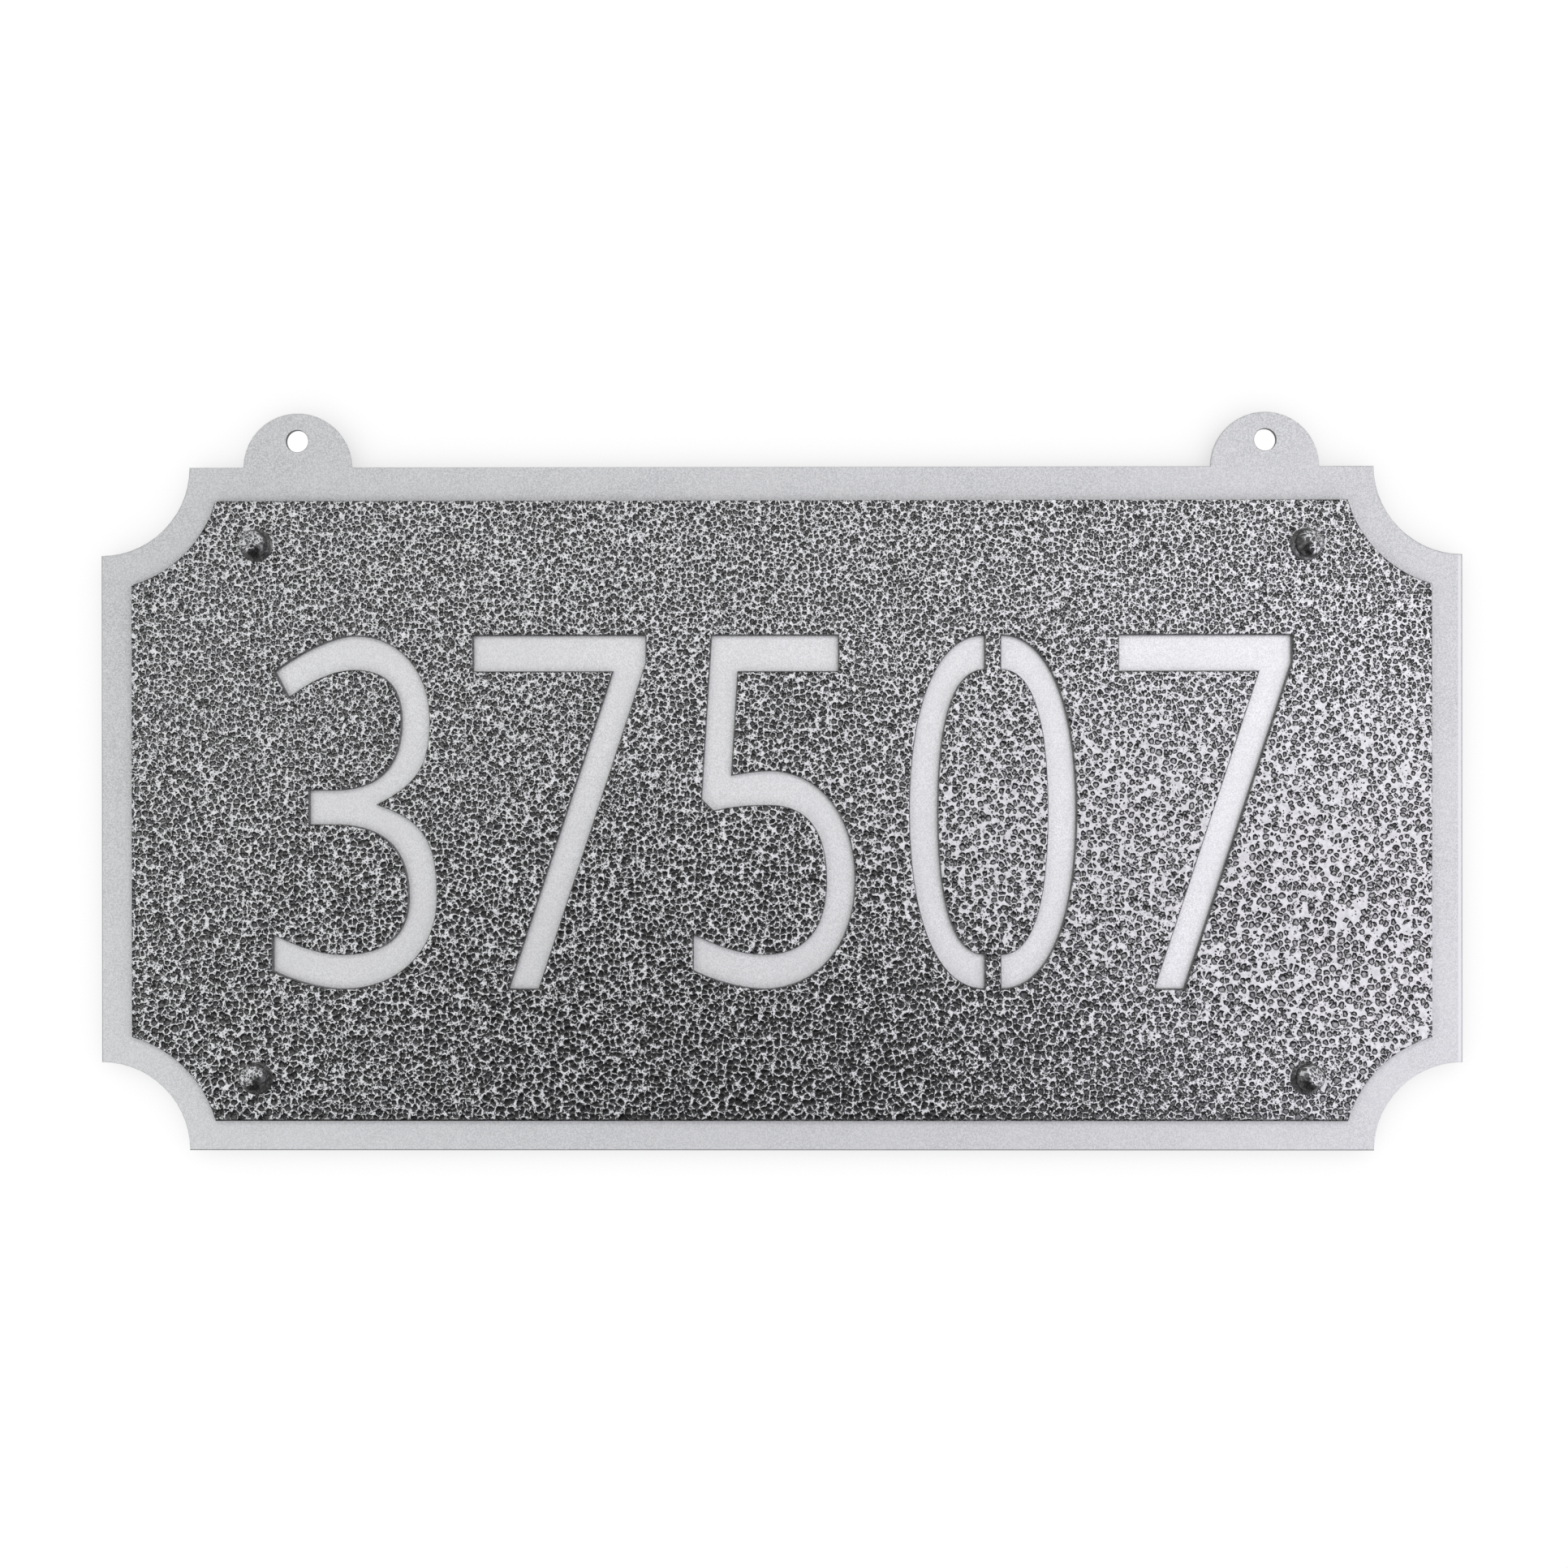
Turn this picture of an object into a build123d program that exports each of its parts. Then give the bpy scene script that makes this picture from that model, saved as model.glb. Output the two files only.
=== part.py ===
from build123d import *
import os

# A wall plaque of two riveted sheet-metal plates: stencil numerals cut through the front plate show the pale
# back plate behind it. Sizes are in millimetres. X runs along the plaque, Z is up and the front faces -Y.
# The origin lies midway between the two hanging holes, on the rear face of the back plate.

# Back plate: a sheet with a round bite out of each corner
plate_width = 406.0
plate_height = 204.0
back_thickness = 1.2
scallop_radius = 26.3

# Hanging ears on the top edge, each with one hole
ear_radius = 16.2
ear_spacing = 288.6
hole_diameter = 6.6
hole_rise = 7.8  # from the top edge up to the middle of a hole

# Front plate: the same outline, set in by an even border
border = 9.75
front_thickness = 1.9
front_drop = 0.6  # how far the front plate is riveted below the middle of the back plate

# Rounding of the front edges
back_edge_round = 0.5
front_edge_round = 0.35

# Round-head rivets, one near each corner of the front plate
rivet_diameter = 4.8
rivet_hole_clearance = 0.1
head_diameter = 8.7
head_height = 3.4
head_rim = 0.5  # upright band at the foot of the dome
tail_diameter = 7.2
tail_height = 2.4
tail_bulge = 0.3
rivet_inset_x = 36.5
rivet_inset_z = 13.0

# Numerals: each is drawn about the middle of its own cell
numeral_height = 105.0
numeral_pitch = 64.0
numeral_drop = 0.45  # how far the numerals sit below the middle of the front plate
bar_stroke = 10.5  # straight strokes that run across
bowl_stroke = 10.0  # round strokes, at their top and foot
side_stroke = 8.2  # upright strokes, and round ones at their sides
outer_fullness = 0.59  # how far a round edge reaches into its corner
inner_fullness = 0.66
tail_slope = 0.5  # how steeply an open stroke ends at its lower left

three_upper_reach = 23.4
three_lower_reach = 25.5
three_crown_x = 1.1
three_foot_x = -2.5
three_arm_start = -12.3
three_arm_straight = 7.3
three_arm_level = 1.5
three_notch_x = 7.5
three_notch_level = 2.3
three_notch_fullness = 0.78
three_notch_upper_slope = 0.5
three_notch_lower_slope = 0.33
three_lip_x = -22.5
three_lip_drop = 10.5
three_lip_slope = 0.75
three_lip_cut_x = 4.0
three_lip_cut_drop = 7.6
three_tail_x = -23.2
three_tail_rise = 5.3
three_tail_cut = 10.7

five_bar_start = -20.4
five_bar_end = 17.1
five_stem_lean = 0.062
five_stem_foot = 3.9
five_heel_x = -20.0
five_heel_drop = 3.3
five_bowl_top = 12.2
five_bowl_join_drop = 1.4
five_join_slope = 0.22
five_reach = 22.0
five_crown_x = -3.5
five_foot_x = -5.0
five_tail_x = -25.9
five_tail_rise = 5.4
five_tail_cut = 10.6

seven_bar_start = -27.4
seven_bar_end = 23.8
seven_shoulder = 7.9  # upright end of the bar, above the leg
seven_foot_end = -8.2

zero_middle = -0.9
zero_width = 49.4
zero_fullness = 0.62
zero_bridge = 5.0  # uncut metal that holds the island

# Places that follow from the sizes
plate_middle = -hole_rise - plate_height / 2
front_middle = plate_middle - front_drop
front_width = plate_width - 2 * border
front_height = plate_height - 2 * border
head_seat = -back_thickness - front_thickness
rivet_spacing_x = front_width - 2 * rivet_inset_x
rivet_spacing_z = front_height - 2 * rivet_inset_z
rivet_places = Pos(0, front_middle) * GridLocations(rivet_spacing_x, rivet_spacing_z, 2, 2)
rivet_hole = Circle((rivet_diameter + rivet_hole_clearance) / 2)
ear_places = GridLocations(ear_spacing, 0, 2, 1)
corner_places = Pos(0, plate_middle) * GridLocations(plate_width, plate_height, 2, 2)
crown = numeral_height / 2
foot = -numeral_height / 2


def toward(point, corner, share):
    """The point that lies a share of the way to a corner."""
    return (point[0] + share * (corner[0] - point[0]), point[1] + share * (corner[1] - point[1]))


def bend(start, corner, end, fullness):
    """A round edge that leaves its start and reaches its end along lines that cross at the corner."""
    return Bezier(start, toward(start, corner, fullness), toward(end, corner, fullness), end)


def ease(start, slope, end, fullness):
    """A round edge that leaves its start to the right at a slope and reaches a level end."""
    corner = (start[0] + abs(end[1] - start[1]) / slope, end[1])
    return bend(start, corner, end, fullness)


def three():
    """Two open bowls that run into one straight arm, with a sharp notch between them."""
    inner_crown = crown - bowl_stroke
    inner_foot = foot + bowl_stroke
    arm_top = three_arm_level + bowl_stroke / 2
    arm_foot = three_arm_level - bowl_stroke / 2
    arm_end = three_arm_start + three_arm_straight
    upper_level = (crown + three_notch_level) / 2
    lower_level = (foot + three_notch_level) / 2
    upper_inside = three_upper_reach - side_stroke
    lower_inside = three_lower_reach - side_stroke
    lip = (three_lip_x, crown - three_lip_drop)
    inner_lip = (three_lip_x + three_lip_cut_x, crown - three_lip_drop - three_lip_cut_drop)
    tail = (three_tail_x, foot + three_tail_rise)
    inner_tail = (three_tail_x, foot + three_tail_rise + three_tail_cut)
    notch = (three_notch_x, three_notch_level)
    above_notch = three_notch_level + three_notch_upper_slope * (three_upper_reach - three_notch_x)
    below_notch = three_notch_level - three_notch_lower_slope * (three_lower_reach - three_notch_x)
    upper_side = (three_upper_reach, upper_level)
    lower_side = (three_lower_reach, lower_level)
    top = (three_crown_x, crown)
    inner_top = (three_crown_x, inner_crown)
    bottom = (three_foot_x, foot)
    inner_bottom = (three_foot_x, inner_foot)
    outline = [
        ease(lip, three_lip_slope, top, outer_fullness),
        bend(top, (three_upper_reach, crown), upper_side, outer_fullness),
        bend(upper_side, (three_upper_reach, above_notch), notch, three_notch_fullness),
        bend(notch, (three_lower_reach, below_notch), lower_side, three_notch_fullness),
        bend(lower_side, (three_lower_reach, foot), bottom, outer_fullness),
        ease(tail, tail_slope, bottom, outer_fullness),
        Line(tail, inner_tail),
        ease(inner_tail, tail_slope, inner_bottom, inner_fullness),
        bend(inner_bottom, (lower_inside, inner_foot), (lower_inside, lower_level), inner_fullness),
        bend((lower_inside, lower_level), (lower_inside, arm_foot), (arm_end, arm_foot), inner_fullness),
        Line((arm_end, arm_foot), (three_arm_start, arm_foot)),
        Line((three_arm_start, arm_foot), (three_arm_start, arm_top)),
        Line((three_arm_start, arm_top), (arm_end, arm_top)),
        bend((arm_end, arm_top), (upper_inside, arm_top), (upper_inside, upper_level), inner_fullness),
        bend((upper_inside, upper_level), (upper_inside, inner_crown), inner_top, inner_fullness),
        ease(inner_lip, three_lip_slope, inner_top, inner_fullness),
        Line(inner_lip, lip),
    ]
    return [Wire(outline)]


def five():
    """A bar and a leaning stem that run into one open bowl."""
    bar_foot = crown - bar_stroke
    inner_foot = foot + bowl_stroke
    inner_bowl_top = five_bowl_top - bowl_stroke
    bowl_level = (five_bowl_top + foot) / 2
    inside = five_reach - side_stroke
    join_level = five_bowl_top - five_bowl_join_drop
    stem_inside = five_bar_start + side_stroke
    stem_foot = (five_bar_start - five_stem_lean * (crown - five_stem_foot), five_stem_foot)
    heel = (five_heel_x, five_stem_foot - five_heel_drop)
    inner_corner = (stem_inside - five_stem_lean * bar_stroke, bar_foot)
    join = (stem_inside - five_stem_lean * (crown - join_level), join_level)
    tail = (five_tail_x, foot + five_tail_rise)
    inner_tail = (five_tail_x, foot + five_tail_rise + five_tail_cut)
    bowl_crown = (five_crown_x, five_bowl_top)
    bowl_foot = (five_foot_x, foot)
    inner_crown = (five_crown_x, inner_bowl_top)
    inner_bottom = (five_foot_x, inner_foot)
    outline = [
        Line((five_bar_start, crown), (five_bar_end, crown)),
        Line((five_bar_end, crown), (five_bar_end, bar_foot)),
        Line((five_bar_end, bar_foot), inner_corner),
        Line(inner_corner, join),
        ease(join, five_join_slope, bowl_crown, outer_fullness),
        bend(bowl_crown, (five_reach, five_bowl_top), (five_reach, bowl_level), outer_fullness),
        bend((five_reach, bowl_level), (five_reach, foot), bowl_foot, outer_fullness),
        ease(tail, tail_slope, bowl_foot, outer_fullness),
        Line(tail, inner_tail),
        ease(inner_tail, tail_slope, inner_bottom, inner_fullness),
        bend(inner_bottom, (inside, inner_foot), (inside, bowl_level), inner_fullness),
        bend((inside, bowl_level), (inside, inner_bowl_top), inner_crown, inner_fullness),
        ease(heel, five_join_slope, inner_crown, inner_fullness),
        Line(heel, stem_foot),
        Line(stem_foot, (five_bar_start, crown)),
    ]
    return [Wire(outline)]


def seven():
    """A bar with one straight leg of even width, leaning down to the left."""
    bar_foot = crown - bar_stroke
    shoulder = crown - seven_shoulder
    lean = (seven_bar_end - seven_foot_end) / (shoulder - foot)
    leg_width = side_stroke * (1 + lean**2) ** 0.5
    foot_start = seven_foot_end - leg_width
    crook = foot_start + lean * (bar_foot - foot)
    corners = [
        (seven_bar_start, crown),
        (seven_bar_end, crown),
        (seven_bar_end, shoulder),
        (seven_foot_end, foot),
        (foot_start, foot),
        (crook, bar_foot),
        (seven_bar_start, bar_foot),
    ]
    return [Wire.make_polygon(corners)]


def half_zero(side):
    """One half of an oval ring, up to the bridge that holds the island."""
    edge = side * zero_bridge / 2
    outside = side * zero_width / 2
    inside = side * (zero_width / 2 - side_stroke)
    inner_crown = crown - bowl_stroke
    inner_foot = foot + bowl_stroke
    outline = [
        bend((edge, crown), (outside, crown), (outside, 0), zero_fullness),
        bend((outside, 0), (outside, foot), (edge, foot), zero_fullness),
        Line((edge, foot), (edge, inner_foot)),
        bend((edge, inner_foot), (inside, inner_foot), (inside, 0), inner_fullness),
        bend((inside, 0), (inside, inner_crown), (edge, inner_crown), inner_fullness),
        Line((edge, inner_crown), (edge, crown)),
    ]
    return Pos(zero_middle, 0) * Wire(outline)


def zero():
    """An oval ring in two halves."""
    return [half_zero(-1), half_zero(1)]


def back_plate():
    """The pale sheet behind, with its ears and hanging holes."""
    sheet = Pos(0, plate_middle) * Rectangle(plate_width, plate_height)
    sheet -= corner_places * Circle(scallop_radius)
    sheet += Pos(0, -hole_rise) * ear_places * Circle(ear_radius)
    blank = extrude(Plane.XZ * sheet, back_thickness)
    blank = fillet(blank.faces().sort_by(Axis.Y)[0].edges(), back_edge_round)
    holes = Sketch() + ear_places * Circle(hole_diameter / 2) + rivet_places * rivet_hole
    return blank - extrude(Plane.XZ * holes, back_thickness)


def front_plate():
    """The coated sheet in front, with the numerals cut right through it."""
    blank = Pos(0, front_middle) * Rectangle(front_width, front_height)
    blank -= Pos(0, -front_drop) * corner_places * Circle(scallop_radius + border)
    numerals = (three, seven, five, zero, seven)
    cells = Pos(0, front_middle - numeral_drop) * GridLocations(numeral_pitch, 0, len(numerals), 1)
    cuts = [cell * wire for cell, numeral in zip(cells, numerals) for wire in numeral()]
    holes = [place * rivet_hole.wire() for place in rivet_places]
    sheet = Face(blank.wire(), cuts + holes)
    plate = extrude(Plane.XZ.offset(back_thickness) * sheet, front_thickness, clean=False)
    return fillet(plate.faces().sort_by(Axis.Y)[0].outer_wire().edges(), front_edge_round)


def rivet():
    """One set rivet: a domed head in front, a shank through both plates and an upset tail behind."""
    shank = rivet_diameter / 2
    head = head_diameter / 2
    tail = tail_diameter / 2
    tail_edge = tail - tail_bulge
    dome_foot = (head, head_seat - head_rim)
    dome_top = (0, head_seat - head_height)
    profile = [
        TangentArc(dome_top, dome_foot, tangent=(1, 0)),
        Line(dome_foot, (head, head_seat)),
        Line((head, head_seat), (shank, head_seat)),
        Line((shank, head_seat), (shank, 0)),
        Line((shank, 0), (tail_edge, 0)),
        ThreePointArc((tail_edge, 0), (tail, tail_height / 2), (tail_edge, tail_height)),
        Line((tail_edge, tail_height), (0, tail_height)),
        Line((0, tail_height), dome_top),
    ]
    return revolve(Face(Wire(profile)), Axis.Y)


def rivets():
    """The set of rivets that hold the plates together."""
    one = rivet()
    points = [place.position for place in rivet_places]
    return Compound(children=[Pos(point.X, 0, point.Y) * one for point in points])


os.makedirs("parts", exist_ok=True)
for name, piece in (("back_plate", back_plate()), ("front_plate", front_plate()), ("rivets", rivets())):
    export_step(piece, f"parts/{name}.step")
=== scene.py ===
import math

import bmesh
import bpy
from mathutils import Matrix, Vector


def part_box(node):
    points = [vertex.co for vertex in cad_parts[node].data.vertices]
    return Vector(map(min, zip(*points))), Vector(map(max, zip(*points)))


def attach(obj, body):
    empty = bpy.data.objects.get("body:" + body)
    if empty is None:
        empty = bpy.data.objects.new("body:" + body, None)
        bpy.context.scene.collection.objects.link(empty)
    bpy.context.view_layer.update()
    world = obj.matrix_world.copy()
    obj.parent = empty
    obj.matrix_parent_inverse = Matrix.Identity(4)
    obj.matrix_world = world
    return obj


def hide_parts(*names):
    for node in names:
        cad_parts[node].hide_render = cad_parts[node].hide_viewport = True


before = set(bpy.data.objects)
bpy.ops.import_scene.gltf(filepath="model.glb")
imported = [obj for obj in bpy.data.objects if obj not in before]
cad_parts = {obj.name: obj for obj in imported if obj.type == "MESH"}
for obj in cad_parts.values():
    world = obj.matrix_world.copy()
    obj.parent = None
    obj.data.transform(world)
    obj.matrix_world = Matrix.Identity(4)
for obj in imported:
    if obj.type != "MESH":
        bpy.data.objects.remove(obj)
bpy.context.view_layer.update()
scene = bpy.context.scene
scene.view_settings.view_transform = "Standard"

# measures of the plaque, in metres
PLATE_HALF_WIDTH = 0.203
PLATE_HALF_HEIGHT = 0.102
FRONT_MIDDLE_Z = -0.1104
FRONT_FACE_Y = -0.0031
RIVET_ASIDE = 0.15675
RIVET_RISE = 0.07925
HOLE_ASIDE = 0.1443

# colours of the vein coat on the front plate
VEIN_DULL, VEIN_BRIGHT = (0.65, 0.66, 0.67, 1), (0.90, 0.91, 0.92, 1)
RIGHT_VEIN_DULL, RIGHT_VEIN_BRIGHT = (0.57, 0.565, 0.58, 1), (0.75, 0.745, 0.76, 1)
DIMPLE_RIM_SHADE = (0.003, 0.003, 0.003, 1)
DIMPLE_FLOOR = (0.031, 0.031, 0.032, 1)
# the dark ground with a painted reflection added: the dimple floors to the left
LEFT_FLOOR_AND_REFLECTION = (0.085, 0.086, 0.086, 1)
# painted sheen: the dimple floors in the open part to the right
SHEEN_DIMPLE_FLOOR = (0.26, 0.257, 0.263, 1)
COAT_EDGE_SHADE_DARK, COAT_EDGE_SHADE_GREY = (0.05, 0.05, 0.051, 1), (0.09, 0.09, 0.092, 1)
COAT_FOOT_SHADE = (0.008, 0.008, 0.008, 1)

# colours of the rivets
RIVET_DARK, RIVET_GREY = (0.07, 0.07, 0.07, 1), (0.18, 0.18, 0.182, 1)
RIVET_REFLECTED_DARK = (0.03, 0.03, 0.03, 1)
RIVET_VEIN = (0.70, 0.71, 0.72, 1)

# colours of the pale silver on the back plate
MIDDLE_DULL, MIDDLE_BRIGHT = (0.70, 0.705, 0.71, 1), (0.94, 0.945, 0.95, 1)
BORDER_DULL, BORDER_BRIGHT = (0.50, 0.508, 0.515, 1), (0.75, 0.758, 0.765, 1)
LOW_BORDER_LIGHT = (0.77, 0.775, 0.78, 1)
SILVER_CLOUD = (0.74, 0.745, 0.75, 1)
SHEET_EDGE_HIGHLIGHT, SHEET_EDGE_SHADE, SHEET_FOOT_SHADE = (0.80, 0.80, 0.81, 1), (0.33, 0.34, 0.36, 1), (0.16, 0.16, 0.165, 1)
HOLE_WALL_SHADE = (0.06, 0.06, 0.062, 1)

WHITE = (1, 1, 1, 1)
VALUE = "NodeSocketFloat"
VECTOR = "NodeSocketVector"


def feed(tree, socket, value):
    """Links or sets one input."""
    if isinstance(value, bpy.types.NodeSocket):
        tree.links.new(value, socket)
    else:
        socket.default_value = value


def make_node(tree, kind, settings=None, **values):
    """Adds a node, sets its own settings, then links or sets its inputs by name."""
    node = tree.nodes.new(kind)
    for name, value in (settings or {}).items():
        setattr(node, name, value)
    for name, value in values.items():
        feed(tree, node.inputs[name.replace("_", " ")], value)
    return node


def maths(tree, operation, first, second=0.0, third=0.0):
    """A Math node's result."""
    node = tree.nodes.new("ShaderNodeMath")
    node.operation = operation
    for socket, value in zip(node.inputs, (first, second, third)):
        feed(tree, socket, value)
    return node.outputs[0]


def vector_maths(tree, operation, first, second):
    """A Vector Math node's vector."""
    node = tree.nodes.new("ShaderNodeVectorMath")
    node.operation = operation
    feed(tree, node.inputs[0], first)
    feed(tree, node.inputs["Scale"] if operation == "SCALE" else node.inputs[1], second)
    return node.outputs[0]


def ramp(tree, value, low, high, to_low=0.0, to_high=1.0):
    """A smooth step from one level to another."""
    node = make_node(tree, "ShaderNodeMapRange", {"interpolation_type": "SMOOTHSTEP"}, Value=value)
    for name, level in (("From Min", low), ("From Max", high), ("To Min", to_low), ("To Max", to_high)):
        feed(tree, node.inputs[name], level)
    return node.outputs[0]


def blend_colours(tree, share, first, second):
    """A colour between two."""
    node = tree.nodes.new("ShaderNodeMix")
    node.data_type = "RGBA"
    feed(tree, node.inputs[0], share)
    feed(tree, node.inputs[6], first)
    feed(tree, node.inputs[7], second)
    return node.outputs[2]


def noise(tree, place, scale, detail):
    """A noise texture's value, about 0.5."""
    return make_node(tree, "ShaderNodeTexNoise", Vector=place, Scale=scale, Detail=detail).outputs[0]


def stray_way(tree, place, scale, detail):
    """A noise texture's colour as a small way in any direction, about zero."""
    node = make_node(tree, "ShaderNodeTexNoise", Vector=place, Scale=scale, Detail=detail)
    return vector_maths(tree, "SUBTRACT", node.outputs["Color"], (0.5, 0.5, 0.5))


def separate(tree, place):
    """The X, Y and Z of a place."""
    return make_node(tree, "ShaderNodeSeparateXYZ", Vector=place).outputs


def distance(tree, first, second):
    """How far away a point is, from its ways along two axes."""
    squares = maths(tree, "ADD", maths(tree, "POWER", first, 2.0), maths(tree, "POWER", second, 2.0))
    return maths(tree, "SQRT", squares)


def from_hanging_hole(tree, spot):
    """How far a point lies from the axis of the nearer hanging hole."""
    aside = maths(tree, "SUBTRACT", maths(tree, "ABSOLUTE", spot["X"]), HOLE_ASIDE)
    return distance(tree, aside, spot["Z"])


def new_group(name, tree_kind, inputs, outputs):
    """A node group with named sockets: the group, what it is given, and what it makes."""
    group = bpy.data.node_groups.new(name, tree_kind)
    for label, kind, level in inputs:
        socket = group.interface.new_socket(label, in_out="INPUT", socket_type=kind)
        if level is not None:
            socket.default_value = level
    for label, kind in outputs:
        group.interface.new_socket(label, in_out="OUTPUT", socket_type=kind)
    given = group.nodes.new("NodeGroupInput").outputs
    made = group.nodes.new("NodeGroupOutput").inputs
    return group, given, made


def new_material(name):
    """A material with one Principled shader, and the object's own coordinates."""
    material = bpy.data.materials.new(name)
    material.use_nodes = True
    tree = material.node_tree
    shader = tree.nodes["Principled BSDF"]
    place = tree.nodes.new("ShaderNodeTexCoord").outputs["Object"]
    return material, tree, shader, place


def add_bump(tree, shader, strength, depth, height):
    """Tilts the shader's normal by a pattern of heights."""
    bump = make_node(tree, "ShaderNodeBump", Strength=strength, Distance=depth, Height=height)
    feed(tree, shader.inputs["Normal"], bump.outputs["Normal"])


def voronoi(tree, place, feature):
    """A flat Voronoi texture with one cell to each unit."""
    settings = {"voronoi_dimensions": "2D", "feature": feature}
    return make_node(tree, "ShaderNodeTexVoronoi", settings, Vector=place, Scale=1.0)


def dimple_layer(tree, place, least, most, vein, kept):
    """How deep each point lies in its dimple, in cells and below 0 outside, and the dimple's middle."""
    corner_rounding = 0.24
    border = voronoi(tree, place, "DISTANCE_TO_EDGE").outputs["Distance"]
    centre = voronoi(tree, place, "F1")
    chance = make_node(tree, "ShaderNodeSeparateColor", Color=centre.outputs["Color"]).outputs
    radius = maths(tree, "MULTIPLY_ADD", chance[0], maths(tree, "SUBTRACT", most, least), least)
    inside = maths(tree, "SUBTRACT", radius, centre.outputs["Distance"])
    inside = maths(tree, "SMOOTH_MIN", inside, maths(tree, "SUBTRACT", border, vein), corner_rounding)
    inside = maths(tree, "MULTIPLY_ADD", maths(tree, "GREATER_THAN", chance[2], kept), -1.0, inside)
    return inside, centre.outputs["Position"]


def vein_pattern():
    """Round dimples of mixed sizes, packed close, with a thin vein left standing between them."""
    t, given, made = new_group(
        "vein_pattern",
        "ShaderNodeTree",
        [
            ("Place", VECTOR, None),
            ("Cell Size", VALUE, 0.0020),
            ("Spread", VALUE, 0.45),
            ("Large Share", VALUE, 1.0),
            ("Small Share", VALUE, 0.7),
            ("Ragged", VALUE, 0.3),
        ],
        [("Hollow", VALUE), ("Height", VALUE), ("Floor", VALUE)],
    )
    # depth is folded into the flat pattern, so that edges carry it too
    spot = separate(t, given["Place"])
    across = maths(t, "MULTIPLY_ADD", spot["Y"], 0.55, spot["X"])
    up = maths(t, "MULTIPLY_ADD", spot["Y"], 0.45, spot["Z"])
    flat = make_node(t, "ShaderNodeCombineXYZ", X=across, Y=up).outputs[0]
    cells = vector_maths(t, "SCALE", flat, maths(t, "DIVIDE", 1.0, given["Cell Size"]))
    cells = vector_maths(t, "ADD", cells, vector_maths(t, "SCALE", stray_way(t, cells, 1.0, 3.0), 0.75))

    def shifted(scale, shift):
        return vector_maths(t, "ADD", vector_maths(t, "SCALE", cells, scale), shift)

    # the vein between two large dimples is thin, and here and there it breaks
    vein = ramp(t, noise(t, cells, 0.9, 1.0), 0.36, 0.62, -0.05, 0.10)
    least, most = maths(t, "MULTIPLY", given["Spread"], 0.8), maths(t, "MULTIPLY", given["Spread"], 1.35)
    large, middle = dimple_layer(t, cells, least, most, vein, given["Large Share"])
    middling = dimple_layer(t, shifted(1.75, (7.3, 3.1, 0.0)), 0.2, 0.55, 0.06, given["Small Share"])[0]
    fewer = maths(t, "MULTIPLY", given["Small Share"], 0.8)
    small = dimple_layer(t, shifted(3.3, (1.7, 8.9, 0.0)), 0.10, 0.50, 0.05, fewer)[0]
    middling = maths(t, "MULTIPLY", middling, 0.57)
    small = maths(t, "MULTIPLY", small, 0.33)
    # smaller dimples keep a vein's width away from larger ones
    middling = maths(t, "MINIMUM", middling, maths(t, "MULTIPLY_ADD", large, -1.0, -0.05))
    deep = maths(t, "MAXIMUM", large, middling)
    small = maths(t, "MINIMUM", small, maths(t, "MULTIPLY_ADD", deep, -1.0, -0.04))
    deep = maths(t, "MAXIMUM", deep, small)
    ragged = maths(t, "SUBTRACT", noise(t, cells, 4.5, 4.0), 0.5)
    deep = maths(t, "MULTIPLY_ADD", ragged, given["Ragged"], deep)
    feed(t, made["Hollow"], ramp(t, deep, -0.05, 0.05))
    # each dimple is a bowl, steep at its rim and easing to a nearly flat, slightly uneven floor
    bowl = maths(t, "MAXIMUM", maths(t, "MULTIPLY_ADD", deep, -4.2, 1.08), 0.0)
    bowl = maths(t, "MINIMUM", bowl, 1.0)
    uneven = maths(t, "MULTIPLY", noise(t, cells, 2.2, 1.0), 0.18)
    feed(t, made["Height"], maths(t, "MULTIPLY_ADD", bowl, bowl, uneven))
    # the floor is paler towards its lower right, painted light where the bowl faces the light from above,
    # and mottled
    way = separate(t, vector_maths(t, "SUBTRACT", cells, middle))
    lit_low_side = maths(t, "MULTIPLY_ADD", way["X"], 0.12, maths(t, "MULTIPLY", way["Y"], -0.30))
    mottle = maths(t, "MULTIPLY", maths(t, "SUBTRACT", noise(t, cells, 7.0, 2.0), 0.5), 0.60)
    floor_depth = maths(t, "ADD", deep, maths(t, "ADD", lit_low_side, mottle))
    feed(t, made["Floor"], ramp(t, floor_depth, 0.10, 0.39))
    return t


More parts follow.
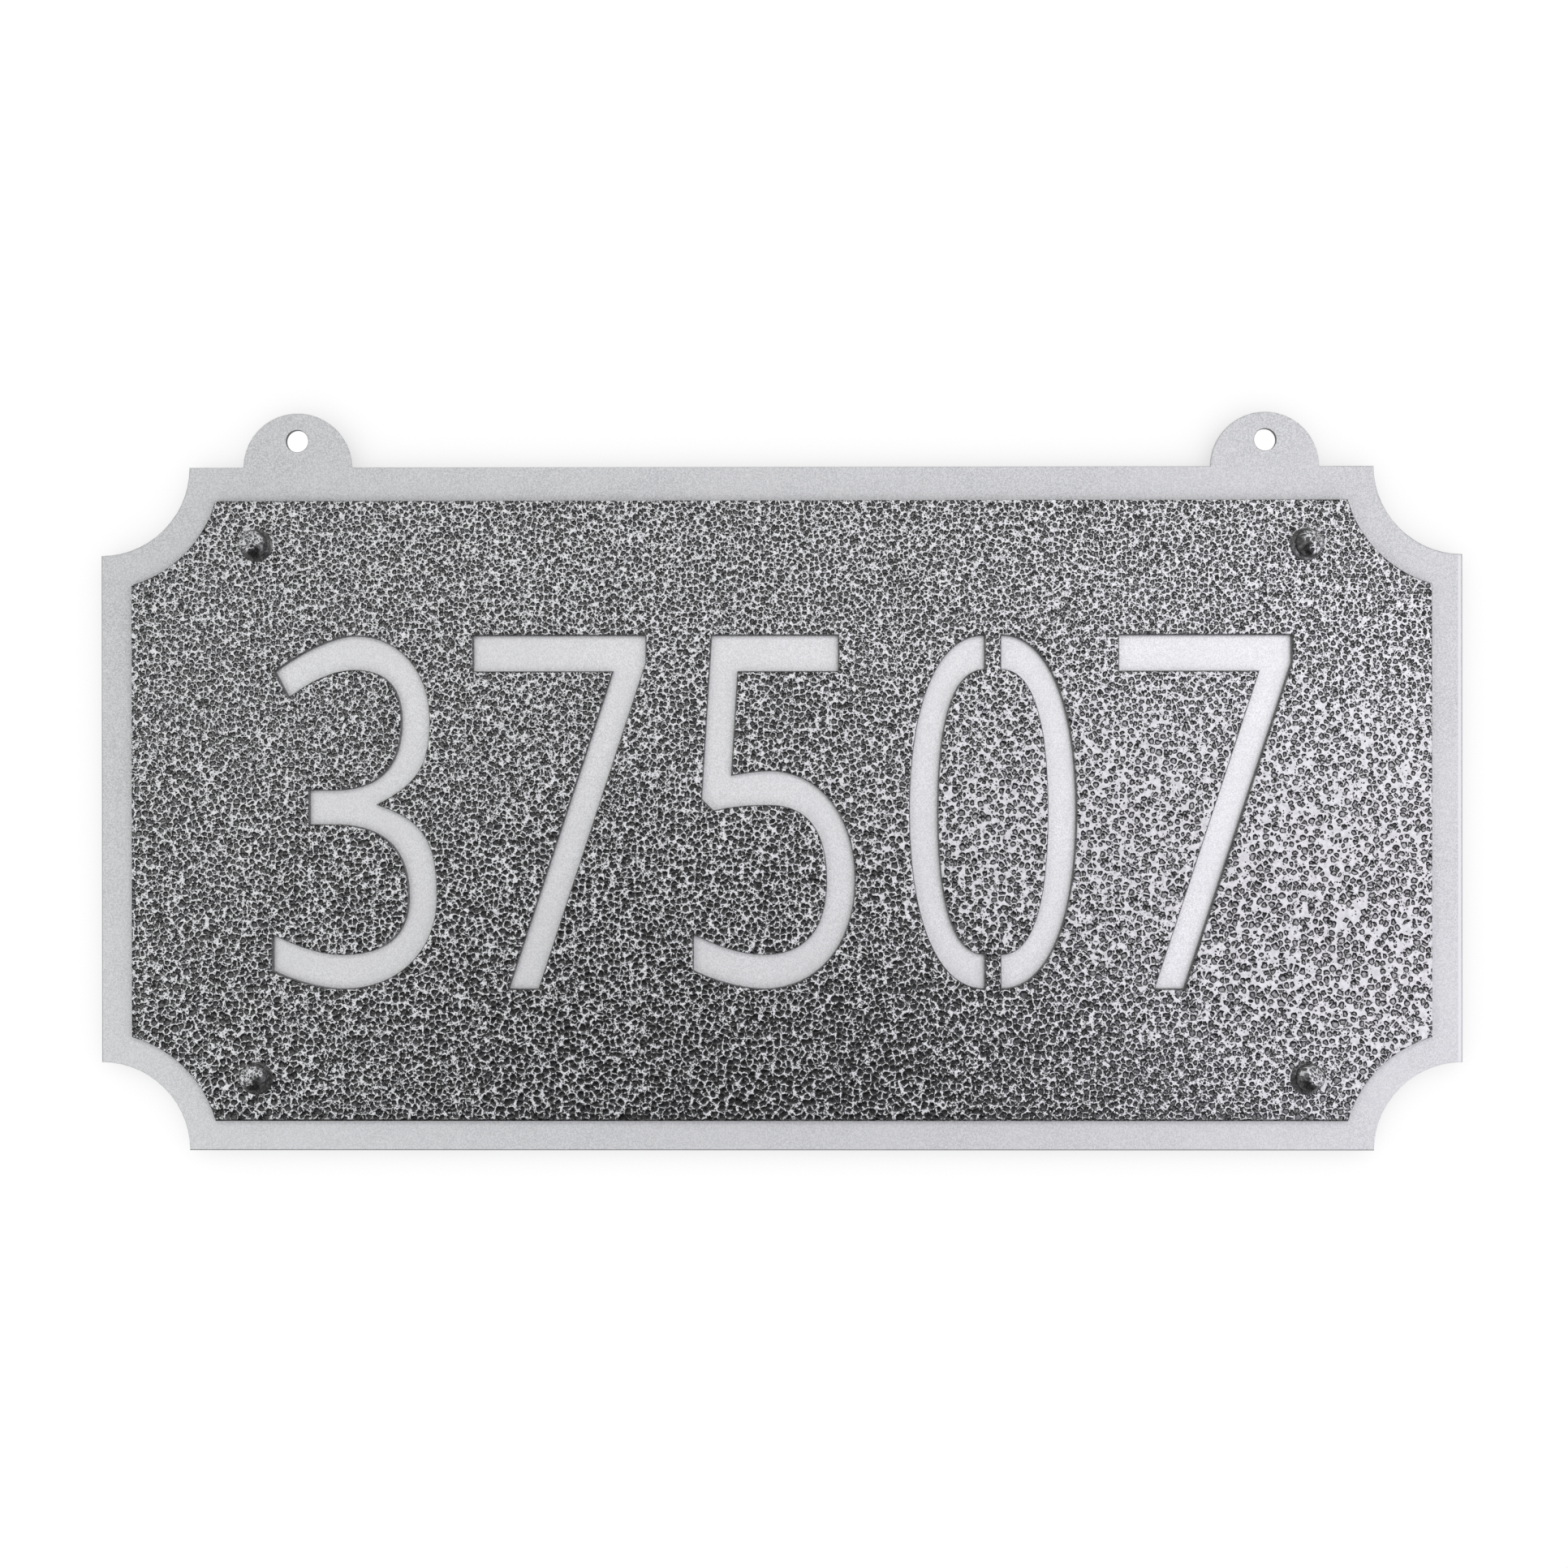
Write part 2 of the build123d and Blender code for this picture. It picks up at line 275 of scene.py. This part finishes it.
def vein_coat(name, pattern, finest, coarsest, spread, right_spread):
    """Silver vein coat over a dark ground: fine at the top, coarse at the foot, more open to the right.
    Painted light: a sheen on the dimple floors to the right, a reflection on those to the left, and shade
    on the dimple rims, the edges and the foot.
    """
    material, t, shader, place = new_material(name)
    spot = separate(t, place)
    # the open part, which also carries the painted sheen, leans away from the lower right corner and fades
    # towards the top
    drop = maths(t, "MINIMUM", maths(t, "ADD", spot["Z"], 0.120), 0.0)
    open_and_sheen = ramp(t, maths(t, "MULTIPLY_ADD", drop, 1.7, spot["X"]), -0.075, 0.125)
    open_and_sheen = maths(t, "MULTIPLY", open_and_sheen, ramp(t, spot["Z"], -0.035, -0.125, 0.22, 1.0))
    foot = maths(t, "MULTIPLY_ADD", spot["Z"], -5.0, -0.05)
    # dimples are packed closest at the middle of the foot, and along the lower edge
    loose = ramp(t, open_and_sheen, 0.0, 1.0, spread, right_spread)
    loose = maths(t, "MULTIPLY", loose, maths(t, "MULTIPLY_ADD", foot, 0.20, 0.88))
    loose = maths(t, "ADD", loose, ramp(t, spot["Z"], -0.1985, -0.2020, 0.0, 0.12))
    mid_foot = ramp(t, maths(t, "ABSOLUTE", maths(t, "ADD", spot["X"], 0.008)), 0.15, 0.02)
    close = maths(t, "MULTIPLY", mid_foot, ramp(t, spot["Z"], -0.13, -0.20, 0.0, 0.08))
    loose = maths(t, "ADD", loose, close)
    # cell sizes step from fine to coarse in three patchy zones, and the lower right corner stays finer
    patchy = maths(t, "MULTIPLY_ADD", noise(t, place, 22.0, 2.0), 0.6, -0.30)
    frayed = maths(t, "MULTIPLY_ADD", noise(t, place, 330.0, 1.0), 0.24, -0.12)
    coarse = maths(t, "ADD", maths(t, "MULTIPLY", foot, 0.6), maths(t, "MULTIPLY", open_and_sheen, 0.45))
    coarse = maths(t, "ADD", coarse, maths(t, "ADD", patchy, frayed))
    low_right = maths(t, "MULTIPLY", ramp(t, spot["X"], 0.05, 0.14), ramp(t, spot["Z"], -0.165, -0.190))
    coarse = maths(t, "MULTIPLY_ADD", low_right, -0.40, coarse)
    sizes = {"To_Min": finest, "To_Max": coarsest, "Steps": 3.0}
    zone = make_node(t, "ShaderNodeMapRange", {"interpolation_type": "STEPPED"}, Value=coarse, **sizes)
    ragged = ramp(t, open_and_sheen, 0.0, 1.0, 1.0, 0.4)
    veins = make_node(
        t,
        "ShaderNodeGroup",
        {"node_tree": pattern},
        Place=place,
        Cell_Size=zone.outputs[0],
        Spread=loose,
        Large_Share=ramp(t, open_and_sheen, 0.3, 1.0, 1.0, 0.93),
        Small_Share=ramp(t, open_and_sheen, 0.0, 1.0, 0.80, 0.25),
        Ragged=maths(t, "MULTIPLY", ragged, maths(t, "MULTIPLY_ADD", foot, 0.16, 0.28)),
    ).outputs
    hollow = veins["Hollow"]
    tone = ramp(t, noise(t, place, 700.0, 4.0), 0.3, 0.7)
    # to the left the dimple floors are the dark ground with a painted reflection, paler than elsewhere
    bottom = blend_colours(t, ramp(t, spot["X"], -0.05, -0.17), DIMPLE_FLOOR, LEFT_FLOOR_AND_REFLECTION)
    # painted sheen: in the open part the dimple floors are painted much paler, standing in for the right
    # lamp's reflection
    bottom = blend_colours(t, ramp(t, open_and_sheen, 0.25, 1.0), bottom, SHEEN_DIMPLE_FLOOR)
    # painted shade: each dimple is painted near black at its steep rim, paling towards its floor
    ground = blend_colours(t, veins["Floor"], DIMPLE_RIM_SHADE, bottom)
    right_silver = blend_colours(t, tone, RIGHT_VEIN_DULL, RIGHT_VEIN_BRIGHT)
    silver = blend_colours(t, open_and_sheen, blend_colours(t, tone, VEIN_DULL, VEIN_BRIGHT), right_silver)
    # over the rounded edges the dimples fade out, and the edges are painted dark grey as painted shade
    edge = ramp(t, spot["Y"], -0.00308, -0.00285)
    # painted shadow: a near black line along the foot of the front plate
    foot_shade = ramp(t, spot["Z"], -0.20175, -0.20225)
    colour = blend_colours(t, hollow, silver, ground)
    colour = blend_colours(t, edge, colour, blend_colours(t, tone, COAT_EDGE_SHADE_DARK, COAT_EDGE_SHADE_GREY))
    feed(t, shader.inputs["Base Color"], blend_colours(t, foot_shade, colour, COAT_FOOT_SHADE))
    # the steep rims are the darkest part of a dimple
    rim = maths(t, "MULTIPLY", hollow, maths(t, "SUBTRACT", 1.0, veins["Floor"]))
    sheen = ramp(t, maths(t, "MAXIMUM", hollow, edge), 0.0, 1.0, 0.14, 0.0)
    feed(t, shader.inputs["Metallic"], maths(t, "MULTIPLY_ADD", rim, 0.75, sheen))
    feed(t, shader.inputs["Roughness"], ramp(t, hollow, 0.0, 1.0, 0.50, 0.17))
    shader.inputs["IOR"].default_value = 1.65
    shader.inputs["Specular IOR Level"].default_value = 1.0
    add_bump(t, shader, strength=1.0, depth=0.0005, height=maths(t, "MAXIMUM", veins["Height"], edge))
    return material


def rivet_enamel(name, pattern):
    """The same coat on a rivet: glossier and swirled, with painted light on its upper and outer side, a
    painted dark reflection below and painted shade round its foot.
    """
    material, t, shader, place = new_material(name)
    spot = separate(t, place)
    outward = maths(t, "SUBTRACT", maths(t, "ABSOLUTE", spot["X"]), RIVET_ASIDE)
    upward = maths(t, "ADD", spot["Z"], -FRONT_MIDDLE_Z - RIVET_RISE)
    upward = maths(t, "WRAP", upward, RIVET_RISE, -RIVET_RISE)
    place = vector_maths(t, "ADD", place, vector_maths(t, "SCALE", stray_way(t, place, 260.0, 1.0), 0.0018))
    veins = make_node(
        t,
        "ShaderNodeGroup",
        {"node_tree": pattern},
        Place=place,
        Cell_Size=0.0014,
        Spread=0.34,
        Small_Share=0.8,
    ).outputs
    tone = ramp(t, noise(t, place, 700.0, 4.0), 0.3, 0.7)
    stray = maths(t, "MULTIPLY_ADD", noise(t, place, 300.0, 1.0), 0.008, -0.004)
    # painted light: the veins show only on the upper and outer side of each head
    lean = maths(t, "ADD", maths(t, "MULTIPLY_ADD", upward, 0.8, stray), maths(t, "MULTIPLY", outward, 0.6))
    lit_side = ramp(t, lean, -0.0020, -0.0004)
    # a painted dark reflection below the crown
    gap = distance(t, maths(t, "ADD", upward, 0.0022), maths(t, "ADD", outward, 0.0006))
    dark_reflection = ramp(t, maths(t, "MULTIPLY_ADD", stray, 0.3, gap), 0.0021, 0.0013)
    # round the foot of the head the veins are left out, painted shade where the head meets the plate
    reach = maths(t, "MULTIPLY_ADD", stray, 0.25, distance(t, outward, upward))
    lit_side = maths(t, "MULTIPLY", lit_side, ramp(t, reach, 0.0042, 0.0035))
    vein = maths(t, "MULTIPLY", maths(t, "SUBTRACT", 1.0, veins["Hollow"]), lit_side)
    dark = blend_colours(t, dark_reflection, blend_colours(t, tone, RIVET_DARK, RIVET_GREY), RIVET_REFLECTED_DARK)
    feed(t, shader.inputs["Base Color"], blend_colours(t, vein, dark, RIVET_VEIN))
    feed(t, shader.inputs["Metallic"], ramp(t, vein, 0.0, 1.0, 0.65, 0.25))
    feed(t, shader.inputs["Roughness"], ramp(t, vein, 0.0, 1.0, 0.20, 0.40))
    add_bump(t, shader, strength=0.9, depth=0.0003, height=veins["Height"])
    return material


def pale_silver(name):
    """Fine speckled satin silver, a shade darker on the border and ears than in the middle."""
    material, t, shader, place = new_material(name)
    spot = separate(t, place)
    wide = maths(t, "ABSOLUTE", spot["X"])
    tall = maths(t, "ABSOLUTE", maths(t, "ADD", spot["Z"], -FRONT_MIDDLE_Z))
    sides, ends = ramp(t, wide, 0.184, 0.194), ramp(t, tall, 0.083, 0.092)
    aside = maths(t, "SUBTRACT", wide, PLATE_HALF_WIDTH)
    above = maths(t, "SUBTRACT", tall, PLATE_HALF_HEIGHT)
    scoops = ramp(t, distance(t, aside, above), 0.050, 0.040)
    border_share = maths(t, "MAXIMUM", maths(t, "MAXIMUM", sides, ends), scoops)
    # the rear face keeps the middle's colour all over
    border_share = maths(t, "MULTIPLY", border_share, ramp(t, spot["Y"], -0.0003, -0.0009))
    grain = noise(t, place, 3000.0, 2.0)
    cloud = noise(t, place, 45.0, 4.0)
    fine = ramp(t, grain, 0.34, 0.66)
    middle_silver = blend_colours(t, fine, MIDDLE_DULL, MIDDLE_BRIGHT)
    border_silver = blend_colours(t, fine, BORDER_DULL, BORDER_BRIGHT)
    # painted light: lower down the border is painted paler, where the lamps from above light it less
    border_silver = blend_colours(t, ramp(t, spot["Z"], -0.08, -0.20, 0.0, 0.22), border_silver, LOW_BORDER_LIGHT)
    colour = blend_colours(t, border_share, middle_silver, border_silver)
    colour = blend_colours(t, ramp(t, cloud, 0.3, 0.7, 0.0, 0.3), colour, SILVER_CLOUD)
    # the sheet's rounded edge: a bright band on the right as a painted highlight, and dark lines on both
    # sides and along the foot as painted shade
    bright = maths(t, "MULTIPLY", ramp(t, spot["X"], 0.2014, 0.2018), ramp(t, spot["X"], 0.2026, 0.2023))
    colour = blend_colours(t, bright, colour, SHEET_EDGE_HIGHLIGHT)
    colour = blend_colours(t, ramp(t, wide, 0.20250, 0.20280), colour, SHEET_EDGE_SHADE)
    colour = blend_colours(t, ramp(t, spot["Z"], -0.21135, -0.21160), colour, SHEET_FOOT_SHADE)
    # the cut walls of the hanging holes are painted dark, as painted shade inside the holes
    hole_shade = ramp(t, from_hanging_hole(t, spot), 0.00345, 0.00335)
    feed(t, shader.inputs["Base Color"], blend_colours(t, hole_shade, colour, HOLE_WALL_SHADE))
    metal = ramp(t, grain, 0.35, 0.65, 0.22, 0.36)
    metal = maths(t, "MULTIPLY", metal, ramp(t, border_share, 0.0, 1.0, 1.0, 0.2))
    feed(t, shader.inputs["Metallic"], metal)
    feed(t, shader.inputs["Roughness"], ramp(t, grain, 0.3, 0.7, 0.44, 0.54))
    add_bump(t, shader, strength=0.3, depth=0.00004, height=grain)
    return material


pattern = vein_pattern()
plate_coat = vein_coat(
    "plate_vein_coat", pattern, finest=0.00165, coarsest=0.0022, spread=0.465, right_spread=0.42
)
rivet_coat = rivet_enamel("rivet_vein_coat", pattern)
silver = pale_silver("pale_silver")

back_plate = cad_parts["back_plate"]
back_plate.data.materials.clear()
back_plate.data.materials.append(silver)


def eased_front_plate(easing):
    """The front plate's own shape, with the front edges of its cut-outs rounded over."""
    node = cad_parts["front_plate"]
    face_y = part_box("front_plate")[0][1]
    same_place = 1e-6
    sharp = math.radians(60)
    bm = bmesh.new()
    bm.from_mesh(node.data)
    bmesh.ops.remove_doubles(bm, verts=bm.verts[:], dist=same_place)
    bmesh.ops.dissolve_limit(bm, angle_limit=math.radians(0.5), verts=bm.verts[:], edges=bm.edges[:])
    rim = []
    for edge in bm.edges:
        on_face = all(abs(v.co.y - face_y) < same_place for v in edge.verts)
        if on_face and len(edge.link_faces) == 2 and edge.calc_face_angle(0.0) > sharp:
            rim.append(edge)
    bmesh.ops.bevel(
        bm,
        geom=rim,
        offset=easing,
        offset_type="OFFSET",
        segments=4,
        profile=0.5,
        affect="EDGES",
        clamp_overlap=False,
    )
    mesh = bpy.data.meshes.new("front_sheet")
    bm.to_mesh(mesh)
    bm.free()
    mesh.materials.append(plate_coat)
    sheet = bpy.data.objects.new("front_sheet", mesh)
    scene.collection.objects.link(sheet)
    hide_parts("front_plate")
    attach(sheet, "root")


eased_front_plate(easing=0.0007)


def rivet_tree():
    """Geometry Nodes: a domed head, shank and upset tail, set at the corners of a rectangle."""
    tree, given, made = new_group(
        "rivet_set",
        "GeometryNodeTree",
        [
            ("Head Diameter", VALUE, 0.0087),
            ("Head Height", VALUE, 0.0033),
            ("Head Fullness", VALUE, 0.68),
            ("Pool Diameter", VALUE, 0.0098),
            ("Pool Height", VALUE, 0.0006),
            ("Pool Sag", VALUE, 0.0003),
            ("Pool Shift", VALUE, 0.0008),
            ("Shank Diameter", VALUE, 0.0048),
            ("Grip", VALUE, 0.0031),
            ("Tail Diameter", VALUE, 0.0072),
            ("Tail Height", VALUE, 0.00239),
            ("Tail Bulge", VALUE, 0.0003),
            ("Spacing Across", VALUE, 2 * RIVET_ASIDE),
            ("Spacing Up", VALUE, 2 * RIVET_RISE),
            ("Middle", VECTOR, (0.0, FRONT_FACE_Y, FRONT_MIDDLE_Z)),
            ("Dents", VALUE, 0.0007),
            ("Seed", VALUE, 3.0),
            ("Coat", "NodeSocketMaterial", None),
        ],
        [("Rivets", "NodeSocketGeometry")],
    )

    def times(first, second):
        return maths(tree, "MULTIPLY", first, second)

    def half(size):
        return times(size, 0.5)

    def spot():
        return separate(tree, tree.nodes.new("GeometryNodeInputPosition").outputs[0])

    def place(**ways):
        return make_node(tree, "ShaderNodeCombineXYZ", **ways).outputs[0]

    def moved(shape, **values):
        return make_node(tree, "GeometryNodeSetPosition", Geometry=shape, **values).outputs[0]

    def at_corners(shape, across):
        size = {"Size_X": across, "Size_Y": given["Spacing Up"], "Vertices_X": 2, "Vertices_Y": 2}
        corners = make_node(tree, "GeometryNodeMeshGrid", **size).outputs["Mesh"]
        return make_node(tree, "GeometryNodeInstanceOnPoints", Points=corners, Instance=shape).outputs[0]

    # head: a ball squashed to a dome on a flat seat
    ball = make_node(tree, "GeometryNodeMeshUVSphere", Segments=40, Rings=24, Radius=1.0).outputs["Mesh"]
    at = spot()
    radius = half(given["Head Diameter"])
    rise = maths(tree, "POWER", maths(tree, "MAXIMUM", at["Z"], 0.0), given["Head Fullness"])
    dome = place(X=times(at["X"], radius), Y=times(at["Y"], radius), Z=times(rise, given["Head Height"]))
    head = moved(ball, Position=dome)
    # the coat pools in a low ring round the head
    at = spot()
    radius = half(given["Pool Diameter"])
    sagged = maths(tree, "MULTIPLY_ADD", at["Y"], radius, times(given["Pool Sag"], -1.0))
    rise = times(maths(tree, "MAXIMUM", at["Z"], 0.0), given["Pool Height"])
    pool = moved(ball, Position=place(X=times(at["X"], radius), Y=sagged, Z=rise))
    # shank through both plates
    rod = {"Vertices": 24, "Radius": half(given["Shank Diameter"]), "Depth": given["Grip"]}
    shank = make_node(tree, "GeometryNodeMeshCylinder", **rod).outputs["Mesh"]
    shank = moved(shank, Offset=place(Z=times(given["Grip"], -0.5)))
    # tail: a short barrel behind the back plate
    barrel = {"Vertices": 32, "Side_Segments": 6, "Depth": given["Tail Height"]}
    barrel["Radius"] = half(given["Tail Diameter"])
    tail = make_node(tree, "GeometryNodeMeshCylinder", **barrel).outputs["Mesh"]
    at = spot()
    end = maths(tree, "DIVIDE", at["Z"], half(given["Tail Height"]))
    narrow = maths(tree, "DIVIDE", given["Tail Bulge"], half(given["Tail Diameter"]))
    girth = maths(tree, "SUBTRACT", 1.0, times(narrow, times(end, end)))
    level = maths(tree, "SUBTRACT", at["Z"], maths(tree, "ADD", given["Grip"], half(given["Tail Height"])))
    tail = moved(tail, Position=place(X=times(at["X"], girth), Y=times(at["Y"], girth), Z=level))
    join = tree.nodes.new("GeometryNodeJoinGeometry")
    for part in (tail, shank, head):
        tree.links.new(part, join.inputs[0])
    # the pools lie a little nearer the middle than the heads
    placed = tree.nodes.new("GeometryNodeJoinGeometry")
    tree.links.new(at_corners(join.outputs[0], given["Spacing Across"]), placed.inputs[0])
    nearer = maths(tree, "MULTIPLY_ADD", given["Pool Shift"], -2.0, given["Spacing Across"])
    tree.links.new(at_corners(pool, nearer), placed.inputs[0])
    real = make_node(tree, "GeometryNodeRealizeInstances", Geometry=placed.outputs[0]).outputs[0]
    # each head is dented a little differently
    at = spot()
    lumps = {"W": given["Seed"], "Scale": 420.0, "Detail": 1.0}
    dent = make_node(tree, "ShaderNodeTexNoise", {"noise_dimensions": "4D"}, **lumps).outputs[0]
    depth = times(maths(tree, "SUBTRACT", dent, 0.62), given["Dents"])
    crown = ramp(tree, at["Z"], 0.0002, 0.0010)
    outward = tree.nodes.new("GeometryNodeInputNormal").outputs[0]
    real = moved(real, Offset=vector_maths(tree, "SCALE", outward, times(depth, crown)))
    # head, pool, shank and tail of each rivet become one solid
    union = {"operation": "UNION", "solver": "EXACT"}
    whole = make_node(tree, "GeometryNodeMeshBoolean", union, Mesh_2=real, Self_Intersection=True)
    whole = whole.outputs["Mesh"]
    facing_front = (math.radians(90), 0, 0)
    whole = make_node(
        tree, "GeometryNodeTransform", Geometry=whole, Translation=given["Middle"], Rotation=facing_front
    ).outputs[0]
    whole = make_node(tree, "GeometryNodeSetShadeSmooth", Geometry=whole).outputs[0]
    whole = make_node(tree, "GeometryNodeSetMaterial", Geometry=whole, Material=given["Coat"]).outputs[0]
    tree.links.new(whole, made["Rivets"])
    return tree


def rivet_set():
    """The four rivets, as one plain mesh."""
    tree = rivet_tree()
    carrier = bpy.data.objects.new("rivet_carrier", bpy.data.meshes.new("rivet_carrier"))
    scene.collection.objects.link(carrier)
    maker = carrier.modifiers.new("rivet_set", "NODES")
    maker.node_group = tree
    sockets = {item.name: item.identifier for item in tree.interface.items_tree if item.in_out == "INPUT"}
    maker[sockets["Coat"]] = rivet_coat
    made = carrier.evaluated_get(bpy.context.evaluated_depsgraph_get())
    mesh = bpy.data.meshes.new_from_object(made)
    mesh.name = "rivet_heads"
    carrier.modifiers.clear()
    bpy.data.objects.remove(carrier)
    mesh.set_sharp_from_angle(angle=math.radians(50))
    heads = bpy.data.objects.new("rivet_heads", mesh)
    scene.collection.objects.link(heads)
    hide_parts("rivets")
    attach(heads, "root")


rivet_set()


def stage_plane(name, middle, across, up, size):
    """A flat square of the backdrop or floor."""
    bm = bmesh.new()
    half = size / 2
    corners = [middle + across * a * half + up * b * half for a, b in ((-1, -1), (1, -1), (1, 1), (-1, 1))]
    bm.faces.new([bm.verts.new(c) for c in corners])
    mesh = bpy.data.meshes.new(name)
    bm.to_mesh(mesh)
    bm.free()
    plane = bpy.data.objects.new(name, mesh)
    scene.collection.objects.link(plane)
    return plane


def empty_material(name):
    """A material without a shader yet, and its surface input."""
    material = bpy.data.materials.new(name)
    material.use_nodes = True
    tree = material.node_tree
    tree.nodes.remove(tree.nodes["Principled BSDF"])
    return material, tree, tree.nodes["Material Output"].inputs["Surface"]


def white_wall():
    """A white wall that dims close round the plaque and lets the view from behind through."""
    material, t, surface = empty_material("white_wall")
    nearness = make_node(t, "ShaderNodeAmbientOcclusion", {"samples": 4}, Distance=0.022).outputs["AO"]
    spot = separate(t, t.nodes.new("ShaderNodeTexCoord").outputs["Object"])
    # it stays white behind the hanging holes
    behind_hole = ramp(t, from_hanging_hole(t, spot), 0.009, 0.0075)
    strength = maths(t, "MAXIMUM", maths(t, "MULTIPLY_ADD", nearness, 0.40, 0.575), behind_hole)
    glow = make_node(t, "ShaderNodeEmission", Color=WHITE, Strength=strength)
    paint = make_node(t, "ShaderNodeBsdfDiffuse", Color=(0.05, 0.05, 0.05, 1))
    both = t.nodes.new("ShaderNodeAddShader")
    t.links.new(glow.outputs[0], both.inputs[0])
    t.links.new(paint.outputs[0], both.inputs[1])
    clear = t.nodes.new("ShaderNodeBsdfTransparent")
    behind = t.nodes.new("ShaderNodeNewGeometry").outputs["Backfacing"]
    choose = t.nodes.new("ShaderNodeMixShader")
    t.links.new(behind, choose.inputs[0])
    t.links.new(both.outputs[0], choose.inputs[1])
    t.links.new(clear.outputs[0], choose.inputs[2])
    t.links.new(choose.outputs[0], surface)
    return material


def pale_floor():
    """A plain pale floor."""
    material, t, shader, place = new_material("pale_floor")
    cloud = noise(t, place, 3.0, 2.0)
    paint = blend_colours(t, cloud, (0.80, 0.80, 0.80, 1), (0.84, 0.84, 0.84, 1))
    feed(t, shader.inputs["Base Color"], paint)
    shader.inputs["Roughness"].default_value = 0.8
    return material


def dark_card():
    """A nearly black card."""
    material, t, surface = empty_material("dark_card")
    glow = make_node(t, "ShaderNodeEmission", Color=WHITE, Strength=0.01)
    t.links.new(glow.outputs[0], surface)
    return material


wall = stage_plane("wall", Vector((0, 0.005, -0.1)), Vector((1, 0, 0)), Vector((0, 0, 1)), 3.0)
wall.data.materials.append(white_wall())
wall.visible_diffuse = False
wall.visible_shadow = False

floor = stage_plane("floor", Vector((0, 0.0, -0.6)), Vector((1, 0, 0)), Vector((0, 1, 0)), 3.0)
floor.data.materials.append(pale_floor())

# it leans in front of and below the plaque and only reflections show it,
# so that the lower middle of the coat stays deep
card_up = Vector((0, -0.64, 0.48))
card = stage_plane("card", Vector((-0.03, -0.42, -0.35)), Vector((0.8, 0, 0)), card_up, 1.0)
card.data.materials.append(dark_card())
card.visible_camera = False
card.visible_diffuse = False
card.visible_shadow = False
card.visible_transmission = False


def studio_world():
    """Soft surroundings, brighter above, with a white background."""
    world = bpy.data.worlds.new("studio")
    scene.world = world
    world.use_nodes = True
    t = world.node_tree
    surround = t.nodes["Background"]
    path = t.nodes.new("ShaderNodeLightPath").outputs
    mirrored = maths(t, "MAXIMUM", path["Is Glossy Ray"], path["Is Transmission Ray"])
    seen = maths(t, "MAXIMUM", path["Is Camera Ray"], mirrored)
    direction = separate(t, t.nodes.new("ShaderNodeTexCoord").outputs["Generated"])
    light = ramp(t, direction["Z"], -0.6, 0.8, 0.26, 0.32)
    strength = t.nodes.new("ShaderNodeMix")
    feed(t, strength.inputs[0], seen)
    feed(t, strength.inputs[2], light)
    feed(t, strength.inputs[3], 1.0)
    feed(t, surround.inputs["Color"], WHITE)
    feed(t, surround.inputs["Strength"], strength.outputs[0])


studio_world()


def softbox(name, place, target, width, height, watts, colour, roll=0.0, mirrored=False):
    """A rectangular lamp aimed at a point, rolled about its own axis, and mirrored in the coat or not."""
    lamp = bpy.data.lights.new(name, "AREA")
    lamp.shape = "RECTANGLE"
    lamp.size, lamp.size_y = width, height
    lamp.energy = watts
    lamp.color = colour
    box = bpy.data.objects.new(name, lamp)
    box.location = place
    aim = (Vector(target) - Vector(place)).to_track_quat("-Z", "Y").to_matrix()
    box.rotation_euler = (aim @ Matrix.Rotation(roll, 3, "Z")).to_euler()
    scene.collection.objects.link(box)
    box.visible_glossy = mirrored


softbox(
    "left_softbox",
    place=(-0.34, -0.30, -0.34),
    target=(-0.17, 0.0, -0.17),
    width=0.25,
    height=0.40,
    watts=0.64,
    colour=(0.98, 1.0, 1.0),
)
softbox(
    "right_softbox",
    place=(0.39, -0.34, -0.27),
    target=(0.13, 0.0, -0.15),
    width=0.90,
    height=0.45,
    watts=1.78,
    colour=(0.93, 0.90, 1.0),
    roll=math.radians(-52),
    mirrored=True,
)
softbox(
    "top_softbox",
    place=(0.0, -0.60, 0.26),
    target=(0.0, 0.0, -0.11),
    width=0.60,
    height=0.25,
    watts=1.42,
    colour=(1.0, 1.0, 0.99),
)


def photo_camera():
    """The camera at the photograph's viewing angle."""
    lens = bpy.data.cameras.new("camera")
    camera = bpy.data.objects.new("camera", lens)
    scene.collection.objects.link(camera)
    lens.sensor_width = 36.0
    lens.lens = 36.70
    place = Matrix.Translation((0.003245, -0.47787, -0.102102))
    face_on = Matrix(((1, 0, 0), (0, 0, -1), (0, 1, 0)))
    aside = Matrix.Rotation(0.00475, 3, "Z")
    down = Matrix.Rotation(-0.00074, 3, "X")
    roll = Matrix.Rotation(0.0008, 3, "Y")
    camera.matrix_world = place @ (aside @ down @ roll @ face_on).to_4x4()
    scene.camera = camera


photo_camera()
